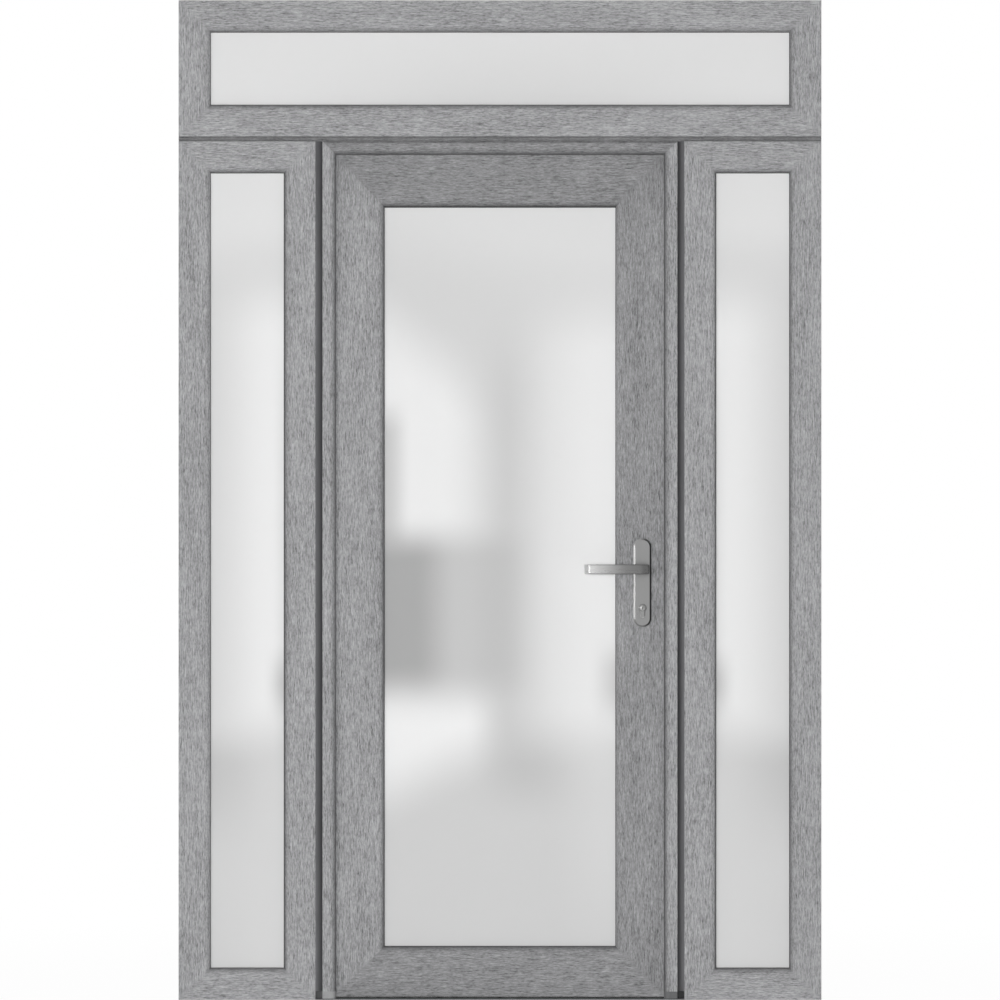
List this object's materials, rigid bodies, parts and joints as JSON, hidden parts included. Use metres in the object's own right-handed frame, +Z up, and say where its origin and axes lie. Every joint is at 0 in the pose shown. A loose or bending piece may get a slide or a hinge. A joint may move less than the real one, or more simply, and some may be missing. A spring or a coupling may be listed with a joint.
{
  "type": "glazed exterior door with sidelights and transom light",
  "caption": "Inward-opening glazed entrance door between fixed frosted sidelights under a transom light, in mitred grey wood-grain frames with a lever handle.",
  "frame": {"origin": "middle of the threshold's underside, on the floor, at half the frame depth", "axes": "+Z up, +X to the right seen from outdoors, -Y outdoors"},
  "size_m": [1.524, 0.176, 2.37],
  "materials": {
    "grey_foil": "grey brushed wood-grain foil, satin",
    "frosted_glass": "acid-etched, even frost",
    "black_rubber": "matt black",
    "mill_aluminium": "mill finish",
    "dark_aluminium": "dark grey anodised",
    "dark_trim": "matt dark grey",
    "smooth_grey": "plain smooth grey",
    "satin_steel": "satin grey",
    "plain_steel": "zinc bright"
  },
  "bodies": {
    "frame": {"fixed_light_gaskets": "black_rubber", "fixed_light_spacers": "mill_aluminium", "frame_head": "grey_foil", "frame_seal": "black_rubber", "hinge_frame_parts": "satin_steel", "hinge_jamb": "grey_foil", "hinge_pins": "satin_steel", "joint_strips": "dark_trim", "left_sidelight_beads": "grey_foil", "left_sidelight_bottom_rail": "grey_foil", "left_sidelight_glass": "frosted_glass", "left_sidelight_inner_stile": "grey_foil", "left_sidelight_outer_stile": "grey_foil", "left_sidelight_top_rail": "grey_foil", "left_sill_block": "smooth_grey", "lock_jamb": "grey_foil", "lock_keeper": "plain_steel", "right_sidelight_beads": "grey_foil", "right_sidelight_bottom_rail": "grey_foil", "right_sidelight_glass": "frosted_glass", "right_sidelight_inner_stile": "grey_foil", "right_sidelight_outer_stile": "grey_foil", "right_sidelight_top_rail": "grey_foil", "right_sill_block": "smooth_grey", "threshold": "dark_aluminium", "transom_beads": "grey_foil", "transom_bottom_rail": "grey_foil", "transom_coupling_rail": "grey_foil", "transom_glass": "frosted_glass", "transom_left_stile": "grey_foil", "transom_right_stile": "grey_foil", "transom_top_rail": "grey_foil"},
    "leaf": {"leaf_beads": "grey_foil", "leaf_bottom_rail": "grey_foil", "leaf_gaskets": "black_rubber", "leaf_glass": "frosted_glass", "leaf_hinge_stile": "grey_foil", "leaf_lock_stile": "grey_foil", "leaf_spacer": "mill_aluminium", "leaf_top_rail": "grey_foil", "lock_faceplate": "plain_steel", "lock_bolts": "plain_steel", "outer_handle_plate": "satin_steel", "inner_handle_plate": "satin_steel", "lock_cylinder": "satin_steel", "hinge_leaf_parts": "satin_steel"},
    "lever_set": {"outer_lever": "satin_steel", "inner_lever": "satin_steel", "spindle": "satin_steel"}
  },
  "joints": [
    {"name": "door_swing", "type": "hinge", "parent": "frame", "child": "leaf", "pos_m": [-0.427, 0.056, 1], "axis": [0, 0, 1], "range_deg": [0, 100]},
    {"name": "lever_turn", "type": "hinge", "parent": "leaf", "child": "lever_set", "pos_m": [0.338, 0.022, 1.021], "axis": [0, -1, 0], "range_deg": [0, 45], "stiffness_Nm_per_rad": 1.5, "springref_deg": -22.92}
  ]
}
